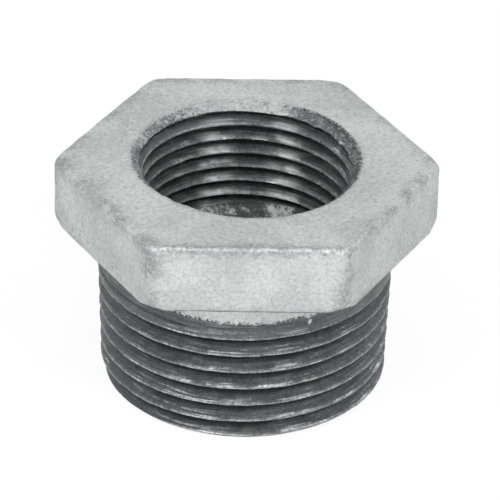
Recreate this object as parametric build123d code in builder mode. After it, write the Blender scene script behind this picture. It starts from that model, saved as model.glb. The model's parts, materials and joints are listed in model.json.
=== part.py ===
from build123d import *
import os
from math import atan, cos, degrees, radians, tan

# Hex reducing bushing, one inch male by three quarter inch female taper pipe thread.
# One malleable iron casting: a low hexagon head, a short round collar under it and a
# tapered shank. The shank is threaded outside, and the bore is threaded from the head side.
# Millimetres, +Z up. The origin is the centre of the shank's end face, on which it stands.
# Two flats of the hexagon face +Y and -Y.

# Hexagon head, as cast
across_flats = 37.6
head_height = 8.3
head_corner_radius = 1.8
head_edge_chamfer = 0.4

# Shank and the plain collar between its thread and the head. The collar stands proud of
# the thread's crests by a small step, with a short shoulder between them
shank_length = 18.5
collar_length = 2.6
collar_step = 0.165
shoulder_height = 0.35
end_chamfer = 0.6

# Taper pipe thread: one in sixteen on the diameter, flanks at thirty degrees
diameter_taper = 1 / 16
flank_angle = 30

# Male thread: crest diameter at the end face, and where the first groove starts below it
male_threads_per_inch = 11.5
male_end_diameter = 32.6
male_thread_depth = 1.6
male_lead_in = 2.35
run_out_turns = 1
run_out_lift = 0.03

# Female thread bore, at the crests of its thread, from the mouth down
female_mouth_diameter = 23.7
female_thread_length = 12.6
mouth_chamfer = 0.9

# Plain cast bore below the female thread
relief_diameter = 25.0

# How far the thread cutter reaches past the surface that it cuts
overcut = 0.4

# Worked out from the sizes above
inch = 25.4
total_height = shank_length + head_height
slope = diameter_taper / 2
taper_angle = degrees(atan(slope))
collar_bottom = shank_length - collar_length
shoulder_bottom = collar_bottom - shoulder_height
relief_top = total_height - female_thread_length
mouth_radius = female_mouth_diameter / 2 + mouth_chamfer
male_pitch = inch / male_threads_per_inch
full_turns = int((shoulder_bottom + male_lead_in) / male_pitch) - run_out_turns
groove_height = male_thread_depth + overcut
groove_half_width = groove_height * tan(radians(flank_angle))
run_out_rise = run_out_turns * male_pitch
run_out_angle = degrees(atan((male_thread_depth + run_out_lift) / run_out_rise + slope))


def male_crest(z):
    """Crest radius of the male thread at height z."""
    return male_end_diameter / 2 + z * slope


def female_crest(z):
    """Crest radius of the female thread at height z."""
    return female_mouth_diameter / 2 - (total_height - z) * slope


collar_radius = male_crest(shoulder_bottom) + collar_step

with BuildPart() as bushing:
    # Hexagon head with its cast corners and edges
    with BuildSketch(Plane.XY.offset(shank_length)):
        RegularPolygon(across_flats / 2, 6, major_radius=False)
        fillet(vertices(), head_corner_radius)
    extrude(amount=head_height)
    chamfer(faces().filter_by(Plane.XY).edges(), head_edge_chamfer)

    # Shank and collar, turned about the axis
    with BuildSketch(Plane.YZ):
        with BuildLine():
            Polyline(
                (0, 0),
                (male_crest(0) - end_chamfer, 0),
                (male_crest(end_chamfer), end_chamfer),
                (male_crest(shoulder_bottom), shoulder_bottom),
                (collar_radius, collar_bottom),
                (collar_radius, shank_length),
                (0, shank_length),
                close=True,
            )
        make_face()
    revolve(axis=Axis.Z)

    # Bore: plain relief, ledge, tapered thread bore and mouth chamfer
    with BuildSketch(Plane.YZ):
        with BuildLine():
            Polyline(
                (0, 0),
                (relief_diameter / 2, 0),
                (relief_diameter / 2, relief_top),
                (female_crest(relief_top), relief_top),
                (female_crest(total_height - mouth_chamfer), total_height - mouth_chamfer),
                (mouth_radius, total_height),
                (0, total_height),
                close=True,
            )
        make_face()
    revolve(axis=Axis.Z, mode=Mode.SUBTRACT)

    # Male thread: a V groove down to the root, cut turn by turn up the taper. The last turn
    # climbs out of the metal, as a die leaves it.
    for turn in range(full_turns + 1):
        runs_out = turn == full_turns
        start = turn * male_pitch - male_lead_in
        root = male_crest(start) - male_thread_depth
        angle = run_out_angle if runs_out else taper_angle
        rise = run_out_rise if runs_out else male_pitch
        with BuildLine() as path:
            Helix(male_pitch / cos(radians(angle)), rise, root, center=(0, 0, start), cone_angle=angle)
        with BuildSketch(Plane.XZ):
            with BuildLine():
                Polyline(
                    (root, start),
                    (root + groove_height, start + groove_half_width),
                    (root + groove_height, start - groove_half_width),
                    close=True,
                )
            make_face()
        sweep(path=path.line, is_frenet=True, mode=Mode.SUBTRACT)

bushing.part.label = "bushing"
os.makedirs("parts", exist_ok=True)
export_step(bushing.part, "parts/bushing.step")
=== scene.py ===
"""A hex reducing bushing, dressed as the galvanised iron casting that it is.

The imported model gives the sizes. One closed mesh takes the place of its solid: the male
taper thread, the run-out, collar and hexagon head, the torn mouth, the female taper thread
and the plain cast bore, with the zinc skin's lumps and the burrs of the cut threads.
"""

import json
import logging
import math
from collections.abc import Callable
from dataclasses import dataclass
from enum import Enum

import bmesh
import bpy
from mathutils import Matrix, Vector, noise


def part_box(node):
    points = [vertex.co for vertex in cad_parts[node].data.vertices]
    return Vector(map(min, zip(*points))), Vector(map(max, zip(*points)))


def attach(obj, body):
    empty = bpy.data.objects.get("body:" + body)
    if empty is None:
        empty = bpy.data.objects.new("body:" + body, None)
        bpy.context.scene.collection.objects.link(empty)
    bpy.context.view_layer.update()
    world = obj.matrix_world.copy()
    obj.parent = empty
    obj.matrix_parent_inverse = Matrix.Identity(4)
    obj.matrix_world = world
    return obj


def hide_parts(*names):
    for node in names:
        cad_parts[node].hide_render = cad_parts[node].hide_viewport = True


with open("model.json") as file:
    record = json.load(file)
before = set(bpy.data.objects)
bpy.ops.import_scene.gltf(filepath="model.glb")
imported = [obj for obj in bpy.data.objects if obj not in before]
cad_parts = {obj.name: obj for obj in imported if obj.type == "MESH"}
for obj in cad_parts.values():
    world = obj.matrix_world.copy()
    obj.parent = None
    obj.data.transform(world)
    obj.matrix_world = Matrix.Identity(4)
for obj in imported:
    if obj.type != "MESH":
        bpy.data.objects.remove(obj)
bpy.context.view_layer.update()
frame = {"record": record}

logging.basicConfig(level=logging.INFO, format="%(message)s")
log = logging.getLogger("bushing")

# The body is shaped in millimetres and brought to metres in one last step
MM = 0.001
FULL_TURN = 2 * math.pi
QUARTER_TURN = math.pi / 2
SIXTH = FULL_TURN / 6

# How far a groove's flank goes along the axis for each unit of its depth
FLANK = math.tan(math.radians(30))

# Heights no further apart than this count as the same
NEAR = 0.01

# Columns round the axis: a multiple of twelve puts columns on each flat and corner
COLUMNS = 288
WELD = 0.0005

# A node's input or output, or a value for it
Value = bpy.types.NodeSocket | float | tuple

# Settings that several nodes share
COLOURS = {"data_type": "RGBA"}
SOFT = {"interpolation_type": "SMOOTHSTEP"}
PLUS = {"operation": "ADD"}
LESS = {"operation": "SUBTRACT"}
TIMES = {"operation": "MULTIPLY"}
SCALE_ADD = {"operation": "MULTIPLY_ADD"}
MOST = {"operation": "MAXIMUM"}

# A radius, and a ring's radius and height, at an angle round the axis, all in millimetres
Radius = Callable[[float], float]
Ring = Callable[[float], tuple[float, float]]


class Side(Enum):
    """Which side of its wall a thread is cut on."""

    OUTER = 1
    INNER = -1


class Zone(Enum):
    """Names of the vertex attributes that the finish reads."""

    ZINC = "zinc"
    # rise also carries painted shade: the lower it is, the darker the iron is painted
    RISE = "rise"
    RIDGE = "ridge"
    EDGE = "edge"
    BEAD = "bead"
    TORN = "torn"
    # deep also carries the painted shade along and under the head's lower edge
    DEEP = "deep"


def linear(colour: str) -> tuple[float, float, float, float]:
    """Turns an sRGB hex colour into linear values.

    Args:
        colour: Six hex digits after a hash sign.

    Returns:
        Red, green, blue and an alpha of one.
    """
    parts = (int(colour[i : i + 2], 16) / 255 for i in (1, 3, 5))
    red, green, blue = (p / 12.92 if p <= 0.04045 else ((p + 0.055) / 1.055) ** 2.4 for p in parts)
    return (red, green, blue, 1.0)


def clamp(value: float, low: float = 0.0, high: float = 1.0) -> float:
    """Keeps a value between two limits."""
    return max(low, min(high, value))


def smooth(value: float, low: float, high: float) -> float:
    """Share that rises smoothly from 0 at low to 1 at high, also where low is the larger one."""
    share = clamp((value - low) / (high - low))
    return share * share * (3 - 2 * share)


def ripple(point: Vector, size: float, seed: float = 0.0) -> float:
    """Smooth noise from about -1 to 1, the same on each run; size is its wavelength."""
    return noise.noise(point / size + Vector((seed, 2 * seed, -seed)))


@dataclass(frozen=True)
class TaperThread:
    """A taper pipe thread: flat-topped ridges between grooves with sixty degrees between flanks.

    Heights and radii are in millimetres. lead is the height of one groove's centre on +X, and
    the grooves climb one pitch in a turn that goes from +X to +Y, as a right-hand thread's do.
    Above run_out_start they climb out of the metal, and above fade_start they lose the share
    fade of their depth, as at the mouth.
    """

    side: Side
    pitch: float
    crest_at_zero: float
    slope: float
    lead: float
    crest_flat: float
    root_flat: float
    run_out_start: float = math.inf
    run_out_turns: float = 0.78
    fade_start: float = 0.0
    fade: float = 0.0

    @property
    def depth(self) -> float:
        """Depth of a full groove, from the width that the two flats leave."""
        return (self.pitch - self.crest_flat - self.root_flat) / 2 / FLANK

    def crest(self, height: float) -> float:
        """Radius of the ridges' tops at a height."""
        return self.crest_at_zero + height * self.slope

    def groove(self, angle: float, height: float) -> float:
        """Height of the centre of the nearest groove at an angle from 0 to a full turn."""
        start = self.lead + self.pitch * angle / FULL_TURN
        return start + self.pitch * round((height - start) / self.pitch)

    def cut(self, angle: float, height: float) -> float:
        """How deep the groove is cut at a point, below the ridges' tops.

        Args:
            angle: Angle round the axis from +X, from 0 to a full turn.
            height: The point's height.

        Returns:
            The depth there, from 0 on a ridge's top to the whole depth in a root.
        """
        centre = self.groove(angle, height)
        risen = (centre - self.run_out_start) / (self.pitch * self.run_out_turns)
        lift = clamp(risen, 0.0, 2.0) * self.depth
        lift += self.fade * self.depth * smooth(height, self.fade_start, self.fade_start + 0.8)
        up_the_flank = max(0.0, abs(height - centre) - self.root_flat / 2) / FLANK
        return max(0.0, self.depth - lift - up_the_flank)

    def radius(self, angle: float, height: float) -> float:
        """Radius of the thread's surface at a point."""
        return self.crest(height) - self.side.value * self.cut(angle, height)

    def ridge(self, angle: float, height: float) -> float:
        """How near a point is to the middle of a ridge's top.

        Args:
            angle: Angle round the axis from +X, from 0 to a full turn.
            height: The point's height.

        Returns:
            1 in the middle, 0 off the ridge and where the thread runs out.
        """
        centre = self.groove(angle, height)
        off = self.pitch / 2 - abs(height - centre)
        full = smooth(height, self.run_out_start + 0.9 * self.pitch, self.run_out_start)
        return smooth(off, self.crest_flat, 0.0) * (full if self.run_out_start < math.inf else 1.0)

    def rows(self, flank_steps: int, crest_steps: int) -> list[float]:
        """Heights across one pitch at which the surface gets a row of vertices.

        Args:
            flank_steps: Rows on each flank.
            crest_steps: Rows on the ridge's top.

        Returns:
            Heights above the groove's centre line, from the root's lower edge to a pitch above it.
        """
        root_edge = self.root_flat / 2
        crest_edge = (self.pitch - self.crest_flat) / 2
        flank = (crest_edge - root_edge) / flank_steps
        top = self.crest_flat / crest_steps
        heights = [-root_edge]
        heights += [root_edge + flank * i for i in range(flank_steps)]
        heights += [crest_edge + top * i for i in range(crest_steps)]
        heights += [self.pitch - crest_edge + flank * i for i in range(flank_steps)]
        return heights + [self.pitch - root_edge]


@dataclass(frozen=True)
class HexHead:
    """The hexagon head and the round collar under it, in millimetres."""

    across_flats: float
    bottom: float
    top: float
    corner_radius: float = 1.3
    edge_radius: float = 0.4
    top_rounding: float = 0.4
    foot_rounding: float = 1.1
    rounded_degrees: float = 5.5
    collar_radius: float = 16.95
    collar_bottom: float = 15.9
    collar_fillet: float = 0.45

    def off_corner(self, angle: float) -> float:
        """Angle between a direction and the nearest corner, of which one is on +X."""
        return abs((angle + SIXTH / 2) % SIXTH - SIXTH / 2)

    def outline(self, angle: float, inset: float = 0.0) -> float:
        """Radius of the hexagon with rounded corners at an angle.

        Args:
            angle: Angle round the axis from +X, where a corner is.
            inset: How far inside the head's own outline the line runs.

        Returns:
            The distance from the axis.
        """
        off_corner = self.off_corner(angle)
        apothem = self.across_flats / 2 - inset
        rounding = max(self.corner_radius - inset, 0.3)
        centre = (apothem - rounding) / math.cos(SIXTH / 2)
        off_middle = SIXTH / 2 - off_corner
        if apothem * math.tan(off_middle) <= (apothem - rounding) * math.tan(SIXTH / 2):
            return apothem / math.cos(off_middle)
        reach = rounding**2 - (centre * math.sin(off_corner)) ** 2
        return centre * math.cos(off_corner) + math.sqrt(reach)

    def rounding(self, angle: float, more: float) -> float:
        """Radius of an edge's rounding, which gains so much more at a corner."""
        near_corner = smooth(self.off_corner(angle), math.radians(self.rounded_degrees), 0.0)
        return self.edge_radius + more * near_corner

    def top_edge(self, angle: float) -> float:
        """Radius of the top edge's rounding."""
        return self.rounding(angle, self.top_rounding)

    def foot_edge(self, angle: float) -> float:
        """Radius of the lower edge's rounding, where the corners were cast and dipped rounder."""
        return self.rounding(angle, self.foot_rounding)

    def off_flat(self, point: Vector) -> float:
        """How far inside the nearest flat's plane a point lies, less than nothing outside it."""
        flats = (QUARTER_TURN + k * SIXTH for k in range(6))
        return self.across_flats / 2 - max(point.x * math.cos(a) + point.y * math.sin(a) for a in flats)


def pick(*pieces: bpy.types.Object) -> None:
    """Leaves edit mode, selects these objects alone and makes the first one active.

    Args:
        pieces: The objects.
    """
    if bpy.context.mode != "OBJECT":
        bpy.ops.object.mode_set(mode="OBJECT")
    bpy.ops.object.select_all(action="DESELECT")
    for piece in pieces:
        piece.select_set(True)
    bpy.context.view_layer.objects.active = pieces[0]


def edit(piece: bpy.types.Object, select: str = "SELECT") -> None:
    """Opens one object in edit mode with everything or nothing selected.

    Args:
        piece: The object.
        select: SELECT for everything, DESELECT for nothing.
    """
    pick(piece)
    bpy.ops.object.mode_set(mode="EDIT")
    bpy.ops.mesh.select_mode(type="VERT")
    bpy.ops.mesh.select_all(action=select)


def rename(piece: bpy.types.Object, name: str) -> bpy.types.Object:
    """Gives an object and its mesh one name.

    Args:
        piece: The object.
        name: Its name.

    Returns:
        The object.
    """
    piece.name = name
    piece.data.name = name
    return piece


def polar(point: Vector) -> tuple[float, float]:
    """Angle of a point round the axis from +X, from 0 to a full turn, and its radius."""
    return math.atan2(point.y, point.x) % FULL_TURN, math.hypot(point.x, point.y)


def turned(angle: float, radius: float, height: float) -> Vector:
    """The point at an angle, radius and height."""
    return Vector((radius * math.cos(angle), radius * math.sin(angle), height))


def wind_thread(
    thread: TaperThread, name: str, low: float, high: float, steps: tuple[int, int]
) -> bpy.types.Object:
    """Winds one pitch of a thread round the axis into a wall, and trims it flat at both ends.

    The section is drawn as a chain of vertices, screwed up the axis and welded turn to turn.
    Each vertex then goes to the depth that the thread has there.

    Args:
        thread: The thread.
        name: The new object's name.
        low: Height of the lower trim.
        high: Height of the upper trim.
        steps: Rows on a flank and on a crest.

    Returns:
        The threaded wall, open at both ends.
    """
    heights = thread.rows(*steps)
    first_turn = math.floor((low - thread.lead) / thread.pitch) - 1
    turns = math.ceil((high - low) / thread.pitch) + 2
    bottom = thread.lead + first_turn * thread.pitch
    bpy.ops.mesh.primitive_plane_add(size=1, location=(thread.crest_at_zero, 0, bottom + heights[0]))
    wall = rename(bpy.context.object, name)
    edit(wall)
    bpy.ops.mesh.merge(type="CENTER")
    for below, above in zip(heights, heights[1:]):
        bpy.ops.mesh.extrude_region_move(TRANSFORM_OT_translate={"value": (0, 0, above - below)})
    pick(wall)
    bpy.ops.object.transform_apply(location=True)
    screw = wall.modifiers.new("wind", "SCREW")
    screw.axis = "Z"
    screw.angle = FULL_TURN
    screw.screw_offset = thread.pitch
    screw.iterations = turns
    screw.steps = screw.render_steps = COLUMNS
    pick(wall)
    bpy.ops.object.modifier_apply(modifier=screw.name)
    edit(wall)
    bpy.ops.mesh.remove_doubles(threshold=WELD)
    pick(wall)
    for vertex in wall.data.vertices:
        angle, _ = polar(vertex.co)
        vertex.co = turned(angle, thread.radius(angle, vertex.co.z), vertex.co.z)
    edit(wall)
    bpy.ops.mesh.bisect(plane_co=(0, 0, high), plane_no=(0, 0, 1), clear_outer=True)
    bpy.ops.mesh.select_all(action="SELECT")
    bpy.ops.mesh.bisect(plane_co=(0, 0, low), plane_no=(0, 0, 1), clear_inner=True)
    pick(wall)
    return wall


def draw_rings(name: str, rings: list[Ring]) -> bpy.types.Object:
    """Draws a wall ring by ring, each extruded from the last.

    Args:
        name: The new object's name.
        rings: The rings in order.

    Returns:
        The wall, open at both ends.
    """
    bpy.ops.mesh.primitive_circle_add(vertices=COLUMNS, radius=1, fill_type="NOTHING")
    wall = rename(bpy.context.object, name)
    edit(wall)
    for number, ring in enumerate(rings):
        if number:
            bpy.ops.mesh.extrude_region_move(TRANSFORM_OT_translate={"value": (0, 0, 0)})
        mesh = bmesh.from_edit_mesh(wall.data)
        for vertex in mesh.verts:
            if vertex.select:
                angle, _ = polar(vertex.co)
                vertex.co = turned(angle, *ring(angle))
        bmesh.update_edit_mesh(wall.data)
    pick(wall)
    return wall


def round_ring(radius: float, height: float) -> Ring:
    """A ring with one radius and one height."""
    return lambda angle: (radius, height)


def side_ring(head: HexHead, share: float) -> Ring:
    """A ring round the head's flats, from 0 on the lower edge's rounding to 1 on the top edge's."""
    return lambda angle: (
        head.outline(angle),
        (head.bottom + head.foot_edge(angle)) * (1 - share) + (head.top - head.top_edge(angle)) * share,
    )


def edge_ring(head: HexHead, level: float, rounding: Radius, turn: float) -> Ring:
    """A ring on the rounding of the head's top or lower edge.

    Args:
        head: The head.
        level: Height of the head's top or bottom.
        rounding: Radius of the rounding at each angle.
        turn: How far round the rounding, from 0 on the flats to a quarter turn on the face.

    Returns:
        The ring.
    """
    in_by = 1 - math.cos(turn)
    rise = math.copysign(1 - math.sin(turn), head.top + head.bottom - 2 * level)
    return lambda angle: (
        head.outline(angle, rounding(angle) * in_by),
        level + rounding(angle) * rise,
    )


def blend_ring(head: HexHead, hole: Radius, rounding: Radius, height: float, share: float) -> Ring:
    """A ring part way, by a share, from a hole's edge to where the rounding of the head's edge starts."""
    return lambda angle: (
        hole(angle) * (1 - share) + share * head.outline(angle, rounding(angle)),
        height,
    )


@dataclass
class Casting:
    """The bushing's one cast and threaded body, in millimetres."""

    head: HexHead
    male: TaperThread
    female: TaperThread
    relief_radius: float
    relief_top: float
    end_chamfer: float = 0.6
    mouth_radius: float = 12.72
    mouth_offset: tuple[float, float] = (-0.14, 0.88)
    mouth_slope: float = 1.8
    thread_top: float = 15.5
    row_height: float = 0.37
    rim_step: float = 0.04
    smooth_degrees: float = 38

    @property
    def wall_middle(self) -> float:
        """A radius between the bore and the outside, at any height."""
        return (self.relief_radius + self.male.crest(0)) / 2

    def mouth(self, angle: float, height: float) -> float:
        """Radius of the mouth's countersink, which stands a little off the axis.

        Args:
            angle: Angle round the axis from +X.
            height: The height, at most the head's top.

        Returns:
            The countersink's distance from the axis.
        """
        off_x, off_y = self.mouth_offset
        rim = self.mouth_radius + off_x * math.cos(angle) + off_y * math.sin(angle)
        return rim - self.mouth_slope * (self.head.top - height)

    def rim(self, angle: float) -> float:
        """Radius of the bore's edge in the head's top face, where a groove or the countersink ends."""
        height = self.head.top - self.rim_step
        return max(self.mouth(angle, height), self.female.radius(angle, height))

    def rim_land(self, angle: float) -> float:
        """Radius at which the top face ends, a little outside the rim."""
        return self.rim(angle) + 0.25

    def collar_foot(self, angle: float) -> float:
        """Radius at which the collar's fillet meets the head, the same all round."""
        return self.head.collar_radius + self.head.collar_fillet

    def shank(self) -> bpy.types.Object:
        """Makes the male thread with its run-out, from the end face to the collar, chamfer included.

        Returns:
            The wall, open at both ends.
        """
        wall = wind_thread(self.male, "male_thread", 0, self.thread_top, (6, 2))
        for vertex in wall.data.vertices:
            angle, radius = polar(vertex.co)
            chamfer = self.male.crest(0) - self.end_chamfer + vertex.co.z
            vertex.co = turned(angle, min(radius, chamfer), vertex.co.z)
        return wall

    def bore(self) -> bpy.types.Object:
        """Makes the female thread, from the plain bore up to the mouth, countersink included.

        Returns:
            The wall, open at both ends.
        """
        top = self.head.top - self.rim_step
        wall = wind_thread(self.female, "female_thread", self.relief_top, top, (5, 2))
        for vertex in wall.data.vertices:
            angle, radius = polar(vertex.co)
            vertex.co = turned(angle, max(radius, self.mouth(angle, vertex.co.z)), vertex.co.z)
        return wall

    def skin(self) -> bpy.types.Object:
        """Makes the zinc-coated outside, from the collar's lower edge over the head to the mouth.

        Returns:
            The wall, open at both ends.
        """
        head = self.head
        fillet = head.collar_fillet
        low, span = head.collar_bottom, head.bottom - fillet - head.collar_bottom
        steps = round(span / self.row_height)
        rings = [round_ring(head.collar_radius, low + span * i / steps) for i in range(steps + 1)]
        for turn in (QUARTER_TURN / 3, QUARTER_TURN / 1.5, QUARTER_TURN):
            radius = head.collar_radius + fillet * (1 - math.cos(turn))
            rings.append(round_ring(radius, head.bottom - fillet + fillet * math.sin(turn)))
        for i in range(1, 7):
            rings.append(blend_ring(head, self.collar_foot, head.foot_edge, head.bottom, i / 6))
        turns = [i / 5 * QUARTER_TURN for i in range(6)]
        rings += [edge_ring(head, head.bottom, head.foot_edge, turn) for turn in turns[-2::-1]]
        steps = round((head.top - head.bottom) / self.row_height) - 2
        rings += [side_ring(head, i / steps) for i in range(1, steps + 1)]
        rings += [edge_ring(head, head.top, head.top_edge, turn) for turn in turns[1:]]
        for i in range(17, -1, -1):
            rings.append(blend_ring(head, self.rim_land, head.top_edge, head.top, i / 18))
        return draw_rings("skin", rings)

    def relief(self) -> bpy.types.Object:
        """Makes the plain cast bore below the female thread.

        Returns:
            The wall, open at both ends.
        """
        steps = round(self.relief_top / (2 * self.row_height))
        top = self.relief_top - self.rim_step
        span = top - self.rim_step
        rings = [round_ring(self.relief_radius, top - span * i / steps) for i in range(steps + 1)]
        return draw_rings("relief", rings)

    def weld(self, *walls: bpy.types.Object) -> bpy.types.Object:
        """Joins the open walls rim to rim into one closed body.

        Args:
            walls: The walls, in any order.

        Returns:
            The closed body.
        """
        pick(*walls)
        bpy.ops.object.join()
        body = rename(bpy.context.object, "bushing_casting")
        step = self.rim_step
        seams = [
            (self.thread_top, self.head.collar_bottom, self.wall_middle, math.inf),
            (self.head.top - step, self.head.top, 0, math.inf),
            (self.relief_top - step, self.relief_top, 0, self.wall_middle),
            (0, step, 0, math.inf),
        ]
        for low, high, inner, outer in seams:
            edit(body, "DESELECT")
            bpy.ops.mesh.select_mode(type="EDGE")
            mesh = bmesh.from_edit_mesh(body.data)
            for edge in mesh.edges:
                if edge.is_boundary:
                    ends = [(v.co.z, v.co.xy.length) for v in edge.verts]
                    edge.select_set(
                        all(low - NEAR < z < high + NEAR and inner < r < outer for z, r in ends)
                    )
            bmesh.update_edit_mesh(body.data)
            bpy.ops.mesh.bridge_edge_loops()
        edit(body)
        bpy.ops.mesh.remove_doubles(threshold=WELD)
        bpy.ops.mesh.normals_make_consistent(inside=False)
        pick(body)
        return body

    def bring_to_metres(self, body: bpy.types.Object) -> None:
        """Scales the finished mesh from millimetres to metres about the origin, and shades it.

        Args:
            body: The closed body.
        """
        edit(body)
        bpy.ops.transform.resize(value=(MM, MM, MM), center_override=(0, 0, 0))
        pick(body)
        bpy.ops.object.shade_smooth_by_angle(angle=math.radians(self.smooth_degrees))

    def build(self) -> bpy.types.Object:
        """Makes the whole body.

        Returns:
            The finished object, at the origin, in metres.
        """
        body = self.weld(self.skin(), self.shank(), self.bore(), self.relief())
        weather = Weather(self)
        weather.mark(body)
        weather.wear(body)
        self.bring_to_metres(body)
        return body


@dataclass
class Weather:
    """What casting, dipping and cutting left on the body: where the zinc is, lumps, burrs and tears."""

    casting: Casting
    lump: float = 0.045
    pit: float = 0.05
    bead: float = 0.13
    lip: float = 0.09
    nick: float = 0.12
    burr: float = 0.035
    chatter: float = 0.03
    tear: float = 0.22
    worn: float = 0.3
    zinc_edge: float = 15.85
    zinc_climb: float = 1.6
    chip_place: tuple[float, float, float] = (-65.2, 15.2, 0.42)
    torn_places: tuple[tuple[float, float, float], ...] = (
        (22, 46, 0.95),
        (188, 32, 0.7),
        (138, 26, 0.5),
        (-95, 60, 0.4),
    )

    def mark(self, body: bpy.types.Object) -> None:
        """Writes where the zinc, crests, edges and tears are, one value for each vertex.

        Args:
            body: The closed body.
        """
        rows = [self.read(vertex.co) for vertex in body.data.vertices]
        for zone, values in zip(Zone, zip(*rows)):
            body.data.attributes.new(zone.value, "FLOAT", "POINT").data.foreach_set("value", values)

    def read(self, point: Vector) -> tuple[float, ...]:
        """Works out the marks of one point.

        Args:
            point: The point.

        Returns:
            A value from 0 to 1 for each zone, in the order of Zone.
        """
        casting = self.casting
        male, female = casting.male, casting.female
        angle, radius = polar(point)
        height = point.z
        down = casting.head.top - height
        torn = self.torn(angle)
        if radius < casting.wall_middle and height < casting.relief_top - NEAR:
            return 1.0, 0.0, 0.0, 0.0, 0.0, 0.0, 1.0
        if radius < casting.wall_middle and down > casting.rim_step / 2:
            zinc = smooth(radius - casting.mouth(angle, height), 0.25, -0.02) * smooth(down, 1.3, 0.9)
            lip = torn * smooth(down, 0.5, 0.2)
            # Painted shade: rise falls towards the groove's roots, which are painted darker
            rise = (1 - female.cut(angle, height) / female.depth) * (1 - lip)
            lip *= smooth(ripple(point, 1.3, 41), 0.1, 0.35)
            ridge = max(female.ridge(angle, height) * (1 - zinc), 0.7 * lip)
            deep = clamp(down / (casting.head.top - casting.relief_top))
            return zinc, rise, ridge, 0.0, 0.0, torn * smooth(down, 1.4, 0.7), deep
        zinc = self.zinc_reach(point)
        if height < casting.thread_top + NEAR:
            # Painted shade: rise falls towards the roots, and on the run-out's land it is cut further, so
            # the land is painted darker
            land = smooth(height, male.run_out_start + 0.4, casting.thread_top - 0.5)
            rise = (1 - male.cut(angle, height) / male.depth) * (1 - 0.86 * land)
            return max(zinc, self.chip(point)), rise, male.ridge(angle, height), 0.0, 0.0, 0.0, 0.0
        rise, edge = 0.12, self.edge(point, angle, radius)
        off_rim = radius - casting.rim(angle)
        if down < NEAR:
            bare = smooth(torn, 0.45, 0.9) * smooth(off_rim, 0.4, 0.1)
            zinc *= 1 - 0.8 * bare
            rise *= 1 - bare
            edge = max(edge, smooth(off_rim, 1.2, 0.1))
        scraped = torn * smooth(off_rim, 0.35, 0.05)
        # The last mark is here the painted shade along and under the head's lower edge
        return zinc, rise, 0.0, edge, self.front_edge(point), scraped, self.shade_under_head(point)

    def zinc_reach(self, point: Vector) -> float:
        """How far into the zinc a point at the thread's end is.

        The die left a ragged edge, which is lowest in front and at the back and climbs towards
        the sides, where the die cut further into the collar.

        Args:
            point: The point.

        Returns:
            0 in the iron, 1 in the zinc.
        """
        angle, _ = polar(point)
        wander = 0.2 * ripple(point, 0.8, 21) + 0.22 * ripple(point, 2.2, 23)
        limit = self.zinc_edge + self.zinc_climb * (1 + math.cos(2 * angle)) / 2
        return smooth(point.z + wander, limit - 0.5, limit + 0.5)

    def shade_under_head(self, point: Vector) -> float:
        """Painted shade along the head's lower edge and under it.

        Args:
            point: The point.

        Returns:
            The painted shade's strength, 0 elsewhere.
        """
        head = self.casting.head
        if point.z > head.bottom + 0.5:
            return 0.0
        from_edge = math.hypot(head.off_flat(point), point.z - head.bottom)
        below = smooth(point.z, head.bottom - head.collar_fillet, head.bottom - 0.1)
        below *= 0.95 * smooth(head.off_flat(point), 0.2, 0.5)
        return 0.86 * max(smooth(from_edge, 0.7, 0.2), below)

    def front_edge(self, point: Vector) -> float:
        """How near a point is to the top edge of the front flat, where the zinc froze in beads.

        Args:
            point: The point.

        Returns:
            1 on the edge, 0 away from it.
        """
        head = self.casting.head
        away = math.hypot(head.across_flats / 2 + point.y, head.top - point.z)
        half_width = head.across_flats / 2 * math.tan(SIXTH / 2)
        return smooth(away, 0.7, 0.25) * smooth(abs(point.x), half_width + 0.3, half_width - 0.6)

    def chip(self, point: Vector) -> float:
        """The bright chip of zinc left on the run-out.

        Args:
            point: The point.

        Returns:
            1 at the chip's middle, 0 off it.
        """
        degrees, height, size = self.chip_place
        centre = turned(math.radians(degrees), self.casting.male.crest(height), height)
        return smooth((point - centre).length, size, size * 0.5)

    def torn(self, angle: float) -> float:
        """How torn the mouth's countersink is: most where the tap broke out.

        Args:
            angle: Angle round the axis from +X.

        Returns:
            A share from 0 to 1.
        """
        degrees = math.degrees(angle)
        worn = self.worn
        for middle, half, depth in self.torn_places:
            off = abs((degrees - middle + 180) % 360 - 180)
            worn = max(worn, depth * smooth(off, half + 16, half - 16))
        return worn

    def mouth_lip(self, point: Vector) -> float:
        """Height of the thin lip that the countersink raised on the top face.

        Args:
            point: The point.

        Returns:
            Its height, 0 away from the mouth's edge.
        """
        angle, radius = polar(point)
        if point.z < self.casting.head.top - NEAR:
            return 0.0
        near = smooth(radius - self.casting.rim(angle), 0.5, 0.26)
        return self.lip * (0.6 + ripple(point, 0.9, 17)) * near

    def edge(self, point: Vector, angle: float, radius: float) -> float:
        """How near a point of the head is to one of the hexagon's edges.

        Args:
            point: The point.
            angle: Its angle round the axis.
            radius: Its distance from the axis.

        Returns:
            1 on an edge, 0 away from it.
        """
        head = self.casting.head
        inside = head.off_flat(point)
        from_top = math.hypot(inside, head.top - point.z)
        from_bottom = math.hypot(inside, point.z - head.bottom)
        corner = radius * math.sin(head.off_corner(angle))
        from_corner = math.hypot(corner, max(0.0, inside - 0.6))
        near = min(from_top, from_bottom + 0.6, from_corner)
        return smooth(near, 2.7, 0.3)

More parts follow.
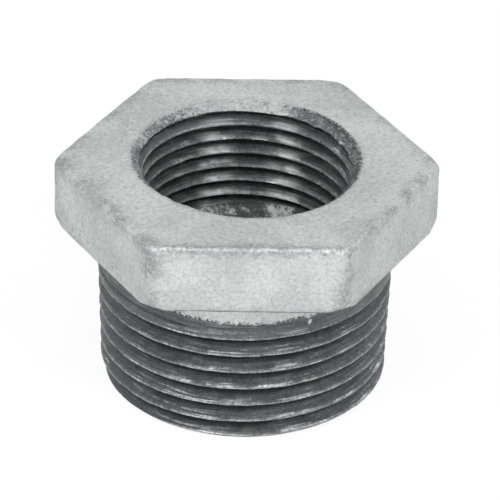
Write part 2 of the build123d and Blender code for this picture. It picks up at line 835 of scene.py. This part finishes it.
    def wear(self, body: bpy.types.Object) -> None:
        """Moves the vertices by the lumps of the casting, the beads of zinc and the burrs.

        Args:
            body: The closed body, with its marks.
        """
        normals = [n.vector.copy() for n in body.data.vertex_normals]
        marks = [body.data.attributes[zone.value].data for zone in Zone]
        for vertex in body.data.vertices:
            zinc, rise, ridge, edge, bead, torn, _ = (mark[vertex.index].value for mark in marks)
            point = vertex.co.copy()
            standing = smooth(point.z, 0.05, 0.8)
            along = Vector((point.x, point.y, point.z * 3))
            iron = 1 - zinc
            moved = self.lump * (ripple(point, 4.0) + 0.6 * ripple(point, 1.6, 3)) * zinc
            moved += self.pit * ripple(point, 2.4, 7) * edge * zinc
            moved += self.bead * (0.3 + ripple(point, 0.9, 31)) * bead
            moved -= self.nick * smooth(ripple(along, 2.2, 11), 0.2, 0.5) * ridge
            moved += self.burr * ripple(along, 1.2, 5) * smooth(rise, 0.75, 1.0) * iron
            moved += self.chatter * ripple(along, 0.9, 9) * iron
            moved += self.tear * ripple(point, 0.7, 13) * torn
            moved += self.mouth_lip(point)
            vertex.co = point + normals[vertex.index] * standing * moved


class Nodes:
    """The node tree of one material or world."""

    def __init__(self, owner: bpy.types.ID) -> None:
        """Starts an empty node tree.

        Args:
            owner: The new material or world.
        """
        owner.use_nodes = True
        self.tree = owner.node_tree
        self.tree.nodes.clear()

    def add(
        self,
        kind: str,
        *values: Value,
        out: str = "",
        named: dict[str, Value] | None = None,
        **settings: str,
    ) -> Value:
        """Adds a node with its settings and links.

        Args:
            kind: The node's type without ShaderNode.
            values: A value or another node's output for each input in use, in order.
            out: Name of the output to give back, or nothing for the first one in use.
            named: Further inputs by name.
            settings: The node's own settings.

        Returns:
            That output, or the node itself where it has none.
        """
        node = self.tree.nodes.new("ShaderNode" + kind)
        for key, value in settings.items():
            setattr(node, key, value)
        sockets = [socket for socket in node.inputs if socket.enabled]
        pairs = list(zip(sockets, values))
        pairs += [(node.inputs[key], value) for key, value in (named or {}).items()]
        for socket, value in pairs:
            if isinstance(value, bpy.types.NodeSocket):
                self.tree.links.new(value, socket)
            else:
                socket.default_value = value
        outputs = [socket for socket in node.outputs if socket.enabled and out in ("", socket.name)]
        return outputs[0] if outputs else node

    def narrow(self, share: Value, *ramps: tuple[Value, ...]) -> Value:
        """Narrows a share to where each of some outputs lies in its range.

        Args:
            share: The share so far.
            ramps: An output, where its ramp starts and ends, and the values there if not 0 and 1.

        Returns:
            The share times all the ramps.
        """
        for mark, *span in ramps:
            share = self.add("Math", share, self.add("MapRange", mark, *span, **SOFT), **TIMES)
        return share

    def lay(self, base: Value, *layers: tuple[Value, Value]) -> Value:
        """Lays colours over a base, one after the other.

        Args:
            base: The colour underneath.
            layers: How far each colour covers what is under it, and the colour.

        Returns:
            The colour on top.
        """
        for share, colour in layers:
            base = self.add("Mix", share, base, colour, **COLOURS)
        return base


@dataclass(frozen=True)
class HotDipZinc:
    """Hot-dip galvanised skin on a malleable iron casting: dull, cloudy grey with fine dark specks.

    The dip leaves a matte crystalline coat, bright where it is thick along an edge and smudged
    darker beside it. Sizes are in millimetres. The real crystals are finer than a tenth of a
    millimetre, too fine to show, so the grain is drawn four times as coarse.
    """

    colour: str = "#bec0bf"
    cloud: str = "#b0b2b2"
    speck: str = "#8a8c8c"
    bright: str = "#dcdddd"
    bead: str = "#a4a6a6"
    scuffed: str = "#838686"
    # inside is partly the bore's cast skin and partly painted shade; scum is partly drained zinc and
    # partly painted light
    inside: str = "#565959"
    scum: str = "#f6f7f7"
    cloud_size: float = 6.0
    grain_size: float = 0.42
    speck_size: float = 0.6
    bloom_size: float = 3.6
    scrawl_size: float = 0.8
    roughness: float = 0.62
    swirl_place: tuple[float, float, float] = (-4.6, 11.6, 12.6)
    spill_place: tuple[float, float, float] = (3.8, 11.9, 12.4)


@dataclass(frozen=True)
class DieCutIron:
    """Iron cut by a die or tap after dipping: painted shade darkens the roots, and the crests are
    burnished.

    The cutter leaves fine lines along the thread, which catch the light. Two columns of the inner
    flanks carry a painted sheen and two bands of the outer flanks painted glints, standing in for
    the soft boxes' reflections. Sizes are in millimetres and angles in degrees from +X. The real
    lines are a few hundredths apart and are drawn some ten to a flank.
    """

    # root is painted shade in the grooves' roots
    root: str = "#2f3232"
    flank: str = "#5b5e5e"
    streak: str = "#8f9292"
    crest: str = "#b0b3b3"
    # glint is the colour of the painted glints, and of the painted light on the crests inside the bore
    glint: str = "#d6d8d8"
    # painted_sheen is the colour of the painted sheen, the soft boxes' reflection on the inner flanks
    painted_sheen: str = "#dadcdc"
    pit: str = "#3a3d3d"
    streak_lines: float = 2.9
    roughness: float = 0.44
    # Middles of the columns of painted sheen on the inner flanks
    sheen_columns: tuple[float, float] = (107.0, 68.0)
    # Middles of the bands of painted glints on the outer flanks
    glint_bands: tuple[float, float] = (-109.0, -70.0)


@dataclass
class BushingFinish:
    """The body's one material: zinc and cut iron, parted where the cutters reached."""

    zinc: HotDipZinc
    iron: DieCutIron
    pitch: float
    name: str = "galvanised_iron"

    def build(self) -> bpy.types.Material:
        """Builds the node tree.

        Returns:
            The material.
        """
        material = bpy.data.materials.new(self.name)
        n = Nodes(material)
        place = n.add("TexCoord", out="Object")
        metre = n.add("VectorMath", place, 1 / MM, operation="SCALE")
        fine = n.add("TexNoise", metre, 1 / 0.34, 4.0, 0.65)
        wide = n.add("TexNoise", metre, 1 / 2.2, 4.0, 0.6)
        dull, shiny = self.iron.roughness + 0.08, self.iron.roughness - 0.06
        burnished = n.add("MapRange", wide, 0.42, 0.62, dull, shiny, **SOFT)
        marks = {zone: n.add("Attribute", out="Fac", attribute_name=zone.value) for zone in Zone}
        zinc, torn = marks[Zone.ZINC], marks[Zone.TORN]
        iron = n.add("Math", 1.0, zinc, **LESS)
        between = n.add("Math", n.add("Math", zinc, iron, **TIMES), 4.0, **TIMES)
        loose = n.add("Math", n.add("Math", torn, 1.2, **TIMES), between, **MOST)
        swing = n.add("Math", n.add("Math", fine, 0.5, **LESS), 4.2, **TIMES)
        ragged = n.add("Math", swing, loose, zinc, **SCALE_ADD)
        cast = n.add("MapRange", n.add("Math", torn, -0.9, ragged, **SCALE_ADD), 0.35, 0.65, **SOFT)
        zinc_colour, zinc_bump = self.zinc_nodes(n, metre, marks)
        iron_colour, iron_bump = self.iron_nodes(n, metre, marks)
        colour = n.lay(iron_colour, (cast, zinc_colour))
        roughness = n.add("Mix", cast, burnished, self.zinc.roughness)
        height = n.add("Mix", cast, iron_bump, zinc_bump)
        bump = n.add("Bump", 0.5, 0.00006, named={"Height": height})
        shader = n.add("BsdfPrincipled", colour, 0.85, roughness, named={"Normal": bump})
        n.add("OutputMaterial", shader)
        return material

    def zinc_nodes(self, n: Nodes, metre: Value, marks: dict[Zone, Value]) -> tuple[Value, Value]:
        """The zinc's colour and height.

        Args:
            n: The node tree.
            metre: Object coordinates in millimetres.
            marks: The vertex marks.

        Returns:
            The colour's and the height's outputs.
        """
        zinc = self.zinc
        edge, bead, torn, deep = (marks[zone] for zone in (Zone.EDGE, Zone.BEAD, Zone.TORN, Zone.DEEP))
        shifted = n.add("VectorMath", metre, (31.0, 17.0, 5.0), **PLUS)
        cloud = n.add("TexNoise", metre, 1 / zinc.cloud_size, 5.0, 0.62)
        grain = n.add("TexNoise", metre, 1 / zinc.grain_size, 5.0, 0.75)
        spots = n.add("TexNoise", shifted, 1 / zinc.speck_size, 3.0, 0.65)
        blooms = n.add("TexNoise", shifted, 1 / zinc.bloom_size, 6.0, 0.7)
        cloudy = n.add("MapRange", cloud, 0.36, 0.62, **SOFT)
        base = n.lay(linear(zinc.colour), (cloudy, linear(zinc.cloud)))
        # Dull crystals between the bright ones, over the whole skin
        dull = n.add("MapRange", grain, 0.52, 0.27, 0.0, 0.76, **SOFT)
        clear = n.add("MapRange", grain, 0.5, 0.73, 0.0, 0.55, **SOFT)
        # A few pinholes, more of them along the edges
        limit = n.add("Math", edge, -0.05, 0.66, **SCALE_ADD)
        hole = n.add("MapRange", n.add("Math", spots, limit, **LESS), 0.0, 0.1, 0.0, 0.5, **SOFT)
        # Soft smudges beside the edges, where the zinc ran thin
        smudge = n.add("Math", n.add("Math", edge, edge, **TIMES), 0.95, **TIMES)
        smudge = n.narrow(smudge, (blooms, 0.43, 0.62, 0.1, 1.0), (grain, 0.68, 0.36, 0.3, 1.0))
        # The row of beads is thick zinc with gaps and dark flecks between
        beads = n.narrow(bead, (blooms, 0.42, 0.55, 0.3, 1.0))
        flecks = n.narrow(bead, (grain, 0.54, 0.46))
        # Where the tap tore the countersink, scrapes and short dark scrawls
        scrape = n.add("Math", torn, 0.85, **TIMES)
        scrawl = n.add("TexNoise", shifted, 1 / zinc.scrawl_size, 3.0, 0.6)
        off_line = n.add("Math", n.add("Math", scrawl, 0.5, **LESS), operation="ABSOLUTE")
        lines = n.narrow(torn, (off_line, 0.06, 0.0))
        # The plain bore has its own look, deep down; the same colour paints the shade along and under the
        # head's lower edge
        inside = n.add("MapRange", deep, 0.6, 1.0, 0.0, 0.88, **SOFT)
        speck = linear(zinc.speck)
        colour = n.lay(
            base,
            (dull, speck),
            (clear, linear(zinc.bright)),
            (hole, speck),
            (smudge, speck),
            (beads, linear(zinc.bead)),
            (flecks, speck),
            (scrape, linear(zinc.scuffed)),
            (lines, linear(self.iron.pit)),
            (inside, self.cast_bore(n, metre, grain)),
        )
        return colour, n.add("Math", spots, 1.2, grain, **SCALE_ADD)

    def cast_bore(self, n: Nodes, metre: Value, grain: Value) -> Value:
        """The plain bore's colour: dark cast skin, partly painted shade deep in the bore, with paler scum
        where the dip drained, made paler still as painted light for the dim bore, and one swirl.

        Args:
            n: The node tree.
            metre: Object coordinates in millimetres.
            grain: The skin's fine noise.

        Returns:
            The colour's output.
        """
        zinc = self.zinc
        off = n.add("VectorMath", metre, zinc.swirl_place, operation="DISTANCE")
        wobble = n.add("Math", grain, 1.4, off, **SCALE_ADD)
        wave = n.add("Math", n.add("Math", wobble, 9.0, **TIMES), operation="SINE")
        rings = n.add("MapRange", wave, -0.4, 0.8, 0.25, 1.0, **SOFT)
        swirl = n.narrow(rings, (off, 2.4, 0.8))
        blots = n.add("TexNoise", metre, 1 / 1.7, 8.0, 0.78)
        spill = n.add("VectorMath", metre, zinc.spill_place, operation="DISTANCE")
        thicker = n.add("MapRange", spill, 3.4, 1.0, 0.0, 0.13, **SOFT)
        scum = n.add("MapRange", n.add("Math", blots, thicker, **PLUS), 0.52, 0.68, **SOFT)
        stain = n.add("MapRange", blots, 0.46, 0.34, 0.0, 0.7, **SOFT)
        pale = n.add("Math", swirl, scum, **MOST)
        return n.lay(linear(zinc.inside), (stain, linear(self.iron.pit)), (pale, linear(zinc.scum)))

    def columns(self, n: Nodes, turn: Value, middles: tuple[float, ...], half: float) -> Value:
        """Upright bands round the axis.

        Args:
            n: The node tree.
            turn: Angle round the axis in radians.
            middles: Degrees from +X at which the bands' middles lie.
            half: Degrees from a band's middle to its edge.

        Returns:
            An output with 1 in the middle of a band and 0 off it.
        """
        inside = 0.0
        for middle in middles:
            off = n.add("Math", n.add("Math", turn, math.radians(middle), **LESS), operation="ABSOLUTE")
            band = n.add("MapRange", off, math.radians(half), math.radians(2), **SOFT)
            inside = n.add("Math", inside, band, **MOST)
        return inside

    def iron_nodes(self, n: Nodes, metre: Value, marks: dict[Zone, Value]) -> tuple[Value, Value]:
        """The cut iron's colour and height, with streaks that follow the helix.

        The noise is read on a ring that closes once in a pitch, so it has no seam round the axis.

        Args:
            n: The node tree.
            metre: Object coordinates in millimetres.
            marks: The vertex marks.

        Returns:
            The colour's and the height's outputs.
        """
        iron = self.iron
        east, north, high = (n.add("SeparateXYZ", metre, out=axis) for axis in "XYZ")
        turn = n.add("Math", north, east, operation="ARCTAN2")
        climb = n.add("Math", high, FULL_TURN / self.pitch, **TIMES)
        phase = n.add("Math", climb, turn, **LESS)
        ring_x, ring_y = (
            n.add("Math", n.add("Math", phase, operation=wave), iron.streak_lines, **TIMES)
            for wave in ("COSINE", "SINE")
        )
        slow = n.add("VectorMath", metre, 0.16, operation="SCALE")
        path = n.add("VectorMath", slow, n.add("CombineXYZ", 0.0, 0.0, ring_x), **PLUS)
        streaks = n.add("TexNoise", path, ring_y, 1.0, 5.0, 0.65, noise_dimensions="4D")
        patches = n.add("TexNoise", metre, 1 / 2.5, 4.0, 0.6)
        grain = n.add("TexNoise", metre, 1 / 0.3, 4.0, 0.78)
        rise, deep, ridge = (marks[zone] for zone in (Zone.RISE, Zone.DEEP, Zone.RIDGE))
        inner = n.add("MapRange", deep, 0.01, 0.08, **SOFT)
        # Painted shade: the flanks are painted darker towards the roots, down to the root colour
        outer_shade_ramp = n.add("MapRange", rise, 0.02, 0.3, 0.4, 1.0, **SOFT)
        inner_shade_ramp = n.add("MapRange", rise, 0.0, 0.8, 0.13, 1.0, **SOFT)
        share = n.add("Mix", inner, outer_shade_ramp, inner_shade_ramp)
        # The cutter's lines, in patches, then grit torn out between them
        lines = n.narrow(0.9, (streaks, 0.46, 0.68), (patches, 0.4, 0.65, 0.3, 1.0))
        dark_grit = n.add("MapRange", grain, 0.52, 0.3, 0.0, 0.72, **SOFT)
        light_grit = n.add("MapRange", grain, 0.54, 0.74, 0.0, 0.55, **SOFT)
        # Painted sheen: two columns of the inner flanks are painted lighter, standing in for the soft
        # boxes' reflections
        sheen = n.narrow(
            n.add("Math", self.columns(n, turn, iron.sheen_columns, 13.0), inner, **TIMES),
            (deep, 0.1, 0.22, 0.2, 1.0),
            (patches, 0.36, 0.58, 0.2, 1.0),
            (rise, 0.2, 0.75),
            (streaks, 0.36, 0.6, 0.35, 1.0),
        )
        # Crests, burnished; inside the bore they are also painted lighter, painted light that makes up
        # for the dim light there
        top = n.narrow(ridge, (grain, 0.36, 0.6, 0.1, 1.0), (patches, 0.38, 0.58, 0.45, 1.0))
        painted_light_inside = n.add("Math", inner, 0.6, **TIMES)
        crest = n.lay(linear(iron.crest), (painted_light_inside, linear(iron.glint)))
        # Painted glints on the outer flanks, most of them low down and in two bands, standing in for the
        # soft boxes' reflections
        low_down = n.add("MapRange", high, 9.0, 2.0, 0.0, 0.09, **SOFT)
        bands = n.add("Math", self.columns(n, turn, iron.glint_bands, 22.0), 0.14, low_down, **SCALE_ADD)
        painted_glints = n.add("MapRange", n.add("Math", patches, bands, **PLUS), 0.58, 0.7, **SOFT)
        painted_glints = n.narrow(painted_glints, (streaks, 0.5, 0.62), (rise, 0.35, 0.75), (grain, 0.38, 0.56, 0.3, 1.0))
        colour = n.lay(
            linear(iron.root),
            (share, linear(iron.flank)),
            (lines, linear(iron.streak)),
            (dark_grit, linear(iron.pit)),
            (light_grit, linear(iron.streak)),
            (sheen, linear(iron.painted_sheen)),
            (top, crest),
            (painted_glints, linear(iron.glint)),
        )
        return colour, n.add("Math", grain, 0.8, n.add("Math", streaks, 0.7, **TIMES), **SCALE_ADD)


def toward(azimuth: float, elevation: float) -> Vector:
    """Direction from the object at degrees round from -Y to the right and above the floor."""
    turn, rise = math.radians(azimuth), math.radians(elevation)
    return Vector((math.sin(turn) * math.cos(rise), -math.cos(turn) * math.cos(rise), math.sin(rise)))


@dataclass
class Studio:
    """A white room with two soft boxes, and the camera where the photographer's was."""

    target: tuple[float, float, float] = (0.0, 0.0, 0.013)
    distance: float = 0.5
    azimuth: float = -1.144
    elevation: float = 31.849
    roll: float = 1.427
    lens: float = 315.8
    aim_right: float = 0.00059
    aim_up: float = 0.001718
    lamp_distance: float = 0.6
    room_light: float = 0.8
    shadow_share: float = 0.12

    def camera(self) -> None:
        """Places the camera as fitted to the photograph, aimed a little above the target."""
        turn, roll = math.radians(self.azimuth), math.radians(self.roll)
        back = toward(self.azimuth, self.elevation)
        level = Vector((math.cos(turn), math.sin(turn), 0))
        upright = back.cross(level)
        right = level * math.cos(roll) + upright * math.sin(roll)
        up = upright * math.cos(roll) - level * math.sin(roll)
        target = Vector(self.target)
        place = target + back * self.distance
        out = (place - target - right * self.aim_right - up * self.aim_up).normalized()
        side = up.cross(out).normalized()
        data = bpy.data.cameras.new("camera")
        data.lens = self.lens
        data.sensor_width = 36
        data.clip_start = 0.01
        data.clip_end = 20
        camera = bpy.data.objects.new("camera", data)
        bpy.context.scene.collection.objects.link(camera)
        rotation = Matrix((side, out.cross(side), out)).transposed().to_4x4()
        camera.matrix_world = Matrix.Translation(place) @ rotation
        bpy.context.scene.camera = camera

    def lamp(self, name: str, azimuth: float, elevation: float, power: float, size: float) -> None:
        """Adds a soft box that looks at the bushing.

        Args:
            name: The lamp's name.
            azimuth: Degrees round from the camera's side, to the right.
            elevation: Degrees above the floor.
            power: Watts.
            size: Edge of the square box in metres.
        """
        out = toward(azimuth, elevation)
        data = bpy.data.lights.new(name, "AREA")
        data.energy = power
        data.size = size
        lamp = bpy.data.objects.new(name, data)
        bpy.context.scene.collection.objects.link(lamp)
        lamp.location = Vector(self.target) + out * self.lamp_distance
        lamp.rotation_euler = out.to_track_quat("Z", "Y").to_euler()

    def seen(self, n: Nodes) -> Value:
        """Tells rays that see the background from rays that light the object.

        Args:
            n: The node tree.

        Returns:
            An output with 1 for rays from the camera, a mirror or glass, and 0 for all others.
        """
        camera, glossy = n.add("LightPath", out="Is Camera Ray"), n.add("LightPath", out="Is Glossy Ray")
        either = n.add("Math", camera, glossy, **MOST)
        return n.add("Math", either, n.add("LightPath", out="Is Transmission Ray"), **MOST)

    def room(self) -> None:
        """The white floor, which keeps a faint shadow, and the white room around it."""
        bpy.ops.mesh.primitive_grid_add(x_subdivisions=8, y_subdivisions=8, size=6, location=(0, 0, 0))
        floor = rename(bpy.context.object, "floor")
        material = bpy.data.materials.new("floor_paper")
        n = Nodes(material)
        paper = n.add("BsdfDiffuse", linear("#f2f2f2"))
        glow = n.add("Emission", (1.0, 1.0, 1.0, 1.0), 1.0)
        share = n.add("Math", self.seen(n), 1 - self.shadow_share, **TIMES)
        n.add("OutputMaterial", n.add("MixShader", share, paper, glow))
        floor.data.materials.append(material)
        world = bpy.data.worlds.new("room")
        bpy.context.scene.world = world
        n = Nodes(world)
        strength = n.add("Mix", self.seen(n), self.room_light, 1.0)
        n.add("OutputWorld", n.add("Background", (1.0, 1.0, 1.0, 1.0), strength))

    def build(self) -> None:
        """Sets up the camera, room and lamps."""
        bpy.context.scene.view_settings.view_transform = "Standard"
        self.camera()
        self.room()
        self.lamp("soft_box_front", 2, 20, 1.75, 0.25)
        self.lamp("soft_box_left", -42, 46, 1.2, 0.12)
        self.lamp("soft_box_right", 38, 46, 1.2, 0.12)


def mount(name: str) -> dict:
    """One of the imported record's mounts, by name."""
    return next(m for m in frame["record"]["mounts"] if m["name"] == name)


def make_casting() -> Casting:
    """Works the casting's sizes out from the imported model's box and mounts.

    Returns:
        The casting, ready to build.
    """
    low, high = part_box("bushing")
    skin = 0.26
    relief = mount("relief_bore")["dims"]
    slope = 1 / 32
    top = high[2] / MM
    male = TaperThread(
        side=Side.OUTER,
        pitch=25.4 / 11.5,
        crest_at_zero=mount("male_thread")["dims"]["r_mm"],
        slope=slope,
        lead=-2.35,
        crest_flat=0.2,
        root_flat=0.16,
        run_out_start=13.11,
    )
    female = TaperThread(
        side=Side.INNER,
        pitch=25.4 / 14,
        crest_at_zero=mount("female_thread")["dims"]["r_mm"] - top * slope,
        slope=slope,
        lead=25.149,
        crest_flat=0.16,
        root_flat=0.14,
        fade_start=top - 0.9,
        fade=0.45,
    )
    head = HexHead((high[1] - low[1]) / MM + skin, 18.5, top)
    return Casting(head, male, female, relief["r_mm"], relief["length_mm"])


def main() -> None:
    """Builds the bushing and the studio, and reports each piece."""
    casting = make_casting()
    body = casting.build()
    finish = BushingFinish(HotDipZinc(), DieCutIron(), casting.male.pitch)
    body.data.materials.append(finish.build())
    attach(body, "root")
    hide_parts("bushing")
    triangles = sum(len(p.vertices) - 2 for p in body.data.polygons)
    log.info("%s: %d vertices, %d triangles", body.name, len(body.data.vertices), triangles)
    Studio().build()


if __name__ == "__main__":
    main()
